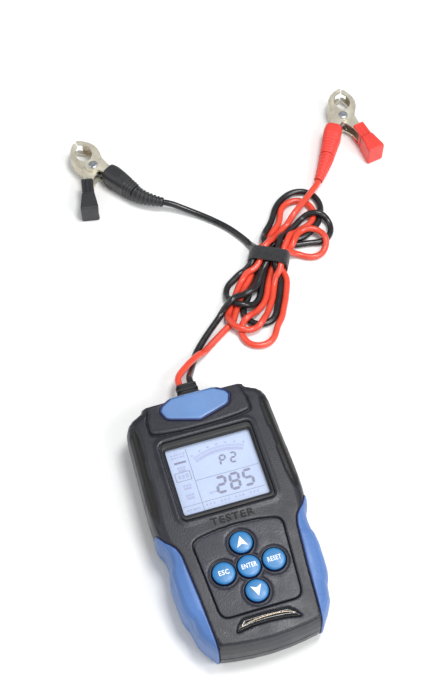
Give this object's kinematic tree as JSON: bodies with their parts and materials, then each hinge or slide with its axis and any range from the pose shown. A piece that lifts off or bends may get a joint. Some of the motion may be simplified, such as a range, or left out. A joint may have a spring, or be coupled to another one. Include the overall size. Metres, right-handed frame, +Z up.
{
  "type": "battery tester",
  "caption": "Handheld battery tester with a display, a cross of keys and soft side grips, and two clamp leads bundled by a strap.",
  "frame": {"origin": "bottom centre of the tester body, on the surface that it lies on", "axes": "+Y towards the cable end, along the longest side; +Z up out of the keypad face"},
  "size_m": [0.2683, 0.4434, 0.0383],
  "materials": {
    "shell": "fine texture",
    "grip": "soft matt",
    "cap": "satin",
    "window_frame": "gloss",
    "lens": "clear",
    "display": "pale with dark segments",
    "light_guide": "milky",
    "black_rubber": "matt",
    "key": "satin",
    "badge": "high gloss",
    "board": "lacquered",
    "component": "matt",
    "ceramic": "matt",
    "steel": "zinc plated",
    "jaw": "pale plated sheet metal",
    "red_plastic": "satin",
    "black_plastic": "satin",
    "red_cable": "satin PVC",
    "black_cable": "satin PVC",
    "strap": "brushed loop pile"
  },
  "bodies": {
    "tester": {"front_shell": "shell", "rear_shell": "shell", "keypad_plate": "shell", "grip_left": "grip", "grip_right": "grip", "cable_cap": "cap", "badge": "badge", "display_frame": "window_frame", "display_window": "lens", "display_glass": "display", "backlight": "light_guide", "contact_strip_upper": "black_rubber", "contact_strip_lower": "black_rubber", "keypad_mat": "black_rubber", "main_board": "board", "processor": "component", "load_resistor": "ceramic", "capacitor": "component", "buzzer": "component", "strain_relief": "black_rubber", "wire_clamp_bar": "component", "wire_clamp_screw_1": "steel", "wire_clamp_screw_2": "steel", "inner_wire_red": "red_cable", "inner_wire_black": "black_cable", "red_lead_entry": "red_cable", "red_lead_exit": "red_cable", "red_lead_hank": "red_cable", "black_lead_entry": "black_cable", "black_lead_exit": "black_cable", "black_lead_hank": "black_cable", "strap": "strap", "case_screw_1": "steel", "board_screw_1": "steel", "case_screw_2": "steel", "board_screw_2": "steel", "case_screw_3": "steel", "board_screw_3": "steel", "case_screw_4": "steel", "board_screw_4": "steel", "black_clamp_handle": "black_plastic", "black_clamp_boot": "black_plastic", "black_clamp_fixed_jaw": "jaw", "black_clamp_pivot_pin": "steel", "black_clamp_spring": "steel", "red_clamp_handle": "red_plastic", "red_clamp_boot": "red_plastic", "red_clamp_fixed_jaw": "jaw", "red_clamp_pivot_pin": "steel", "red_clamp_spring": "steel"},
    "key_enter": {"key_enter": "key"},
    "key_up": {"key_up": "key"},
    "key_down": {"key_down": "key"},
    "key_escape": {"key_escape": "key"},
    "key_reset": {"key_reset": "key"},
    "black_clamp_lever": {"black_clamp_thumb_lever": "black_plastic", "black_clamp_moving_jaw": "jaw"},
    "red_clamp_lever": {"red_clamp_thumb_lever": "red_plastic", "red_clamp_moving_jaw": "jaw"}
  },
  "joints": [
    {"name": "key_enter_press", "type": "slide", "parent": "tester", "child": "key_enter", "axis": [0, 0, -1], "range_m": [0, 0.0012], "stiffness_N_per_m": 600, "springref_m": -0.0006},
    {"name": "key_up_press", "type": "slide", "parent": "tester", "child": "key_up", "axis": [0, 0, -1], "range_m": [0, 0.0012], "stiffness_N_per_m": 600, "springref_m": -0.0006},
    {"name": "key_down_press", "type": "slide", "parent": "tester", "child": "key_down", "axis": [0, 0, -1], "range_m": [0, 0.0012], "stiffness_N_per_m": 600, "springref_m": -0.0006},
    {"name": "key_escape_press", "type": "slide", "parent": "tester", "child": "key_escape", "axis": [0, 0, -1], "range_m": [0, 0.0012], "stiffness_N_per_m": 600, "springref_m": -0.0006},
    {"name": "key_reset_press", "type": "slide", "parent": "tester", "child": "key_reset", "axis": [0, 0, -1], "range_m": [0, 0.0012], "stiffness_N_per_m": 600, "springref_m": -0.0006},
    {"name": "black_clamp_open", "type": "hinge", "parent": "tester", "child": "black_clamp_lever", "pos_m": [-0.0145, 0.323, 0.009], "axis": [0, 0, 1], "range_deg": [0, 30], "stiffness_Nm_per_rad": 0.4, "springref_deg": -51.57},
    {"name": "red_clamp_open", "type": "hinge", "parent": "tester", "child": "red_clamp_lever", "pos_m": [0.1936, 0.3133, 0.009], "axis": [0, 0, -1], "range_deg": [0, 30], "stiffness_Nm_per_rad": 0.4, "springref_deg": -51.57}
  ]
}
